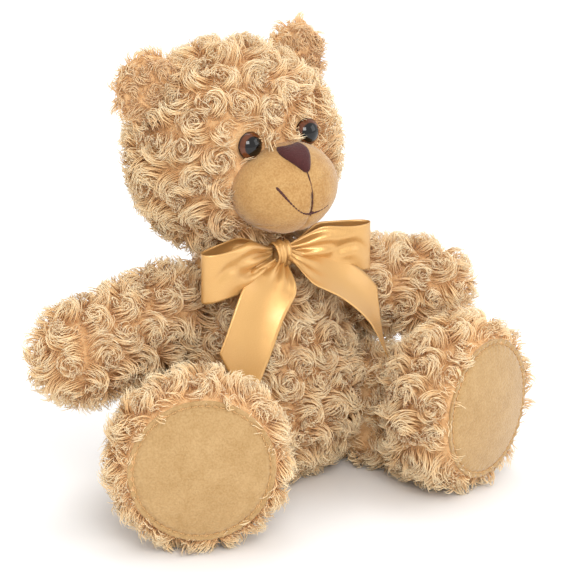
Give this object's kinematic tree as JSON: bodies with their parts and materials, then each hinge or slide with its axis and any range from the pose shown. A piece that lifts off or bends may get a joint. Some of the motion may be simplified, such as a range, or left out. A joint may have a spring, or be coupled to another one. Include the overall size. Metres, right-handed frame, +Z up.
{
  "type": "jointed teddy bear",
  "caption": "Seated soft teddy bear with curly plush, suede soles and muzzle, glossy eyes, a satin ribbon bow, and a turning head, arms and legs.",
  "frame": {"origin": "middle of the flat of the seat, on the surface that the bear sits on", "axes": "+Z up, the face looks along -Y, the bear's left side is +X"},
  "size_m": [0.251, 0.179, 0.2261],
  "materials": {
    "plush": "curly long-pile plush",
    "plush_dark": "curly plush in the shade of the ear",
    "suede": "short brushed suede cloth",
    "batting": "loose polyester filling",
    "nose_velvet": "short dark velvet",
    "thread": "stitched cotton thread",
    "eye_plastic": "glossy domed plastic, brown with a black pupil",
    "washer_plastic": "moulded white plastic",
    "fibreboard": "hard pressed board",
    "satin": "glossy woven satin"
  },
  "bodies": {
    "torso": {"torso_cover": "plush", "torso_stuffing": "batting", "neck_washer": "fibreboard", "shoulder_washer_left": "fibreboard", "shoulder_washer_right": "fibreboard", "hip_washer_left": "fibreboard", "hip_washer_right": "fibreboard", "ribbon_neckband": "satin", "bow_knot": "satin", "bow_loop_left": "satin", "bow_loop_right": "satin", "ribbon_tail_left": "satin", "ribbon_tail_right": "satin"},
    "head": {"head_cover": "plush", "head_stuffing": "batting", "muzzle": "suede", "nose": "nose_velvet", "mouth_stitching": "thread", "eye_left": "eye_plastic", "eye_right": "eye_plastic", "eye_washer_left": "washer_plastic", "eye_washer_right": "washer_plastic", "ear_back_left": "plush", "ear_back_right": "plush", "ear_lining_left": "plush_dark", "ear_lining_right": "plush_dark", "neck_disc": "fibreboard", "neck_lock_ring": "washer_plastic"},
    "left_arm": {"arm_cover_left": "plush", "arm_stuffing_left": "batting", "shoulder_disc_left": "fibreboard", "shoulder_lock_ring_left": "washer_plastic"},
    "left_leg": {"leg_cover_left": "plush", "leg_stuffing_left": "batting", "foot_pad_left": "suede", "hip_disc_left": "fibreboard", "hip_lock_ring_left": "washer_plastic"},
    "right_arm": {"arm_cover_right": "plush", "arm_stuffing_right": "batting", "shoulder_disc_right": "fibreboard", "shoulder_lock_ring_right": "washer_plastic"},
    "right_leg": {"leg_cover_right": "plush", "leg_stuffing_right": "batting", "foot_pad_right": "suede", "hip_disc_right": "fibreboard", "hip_lock_ring_right": "washer_plastic"}
  },
  "joints": [
    {"name": "neck", "type": "hinge", "parent": "torso", "child": "head", "pos_m": [0, 0.006, 0.117], "axis": [0, 0, 1], "range_deg": [-45, 45]},
    {"name": "left_shoulder", "type": "hinge", "parent": "torso", "child": "left_arm", "pos_m": [0.03661, 0.002, 0.085], "axis": [-0.866, 0, -0.5], "range_deg": [-115, 0]},
    {"name": "right_shoulder", "type": "hinge", "parent": "torso", "child": "right_arm", "pos_m": [-0.03661, 0.002, 0.085], "axis": [-0.866, 0, 0.5], "range_deg": [-115, 0]},
    {"name": "left_hip", "type": "hinge", "parent": "torso", "child": "left_leg", "pos_m": [0.03311, -0.01147, 0.0315], "axis": [-0.9205, -0.3907, 0], "range_deg": [-90, 0]},
    {"name": "right_hip", "type": "hinge", "parent": "torso", "child": "right_leg", "pos_m": [-0.03311, -0.01147, 0.0315], "axis": [-0.9205, 0.3907, 0], "range_deg": [-90, 0]}
  ]
}
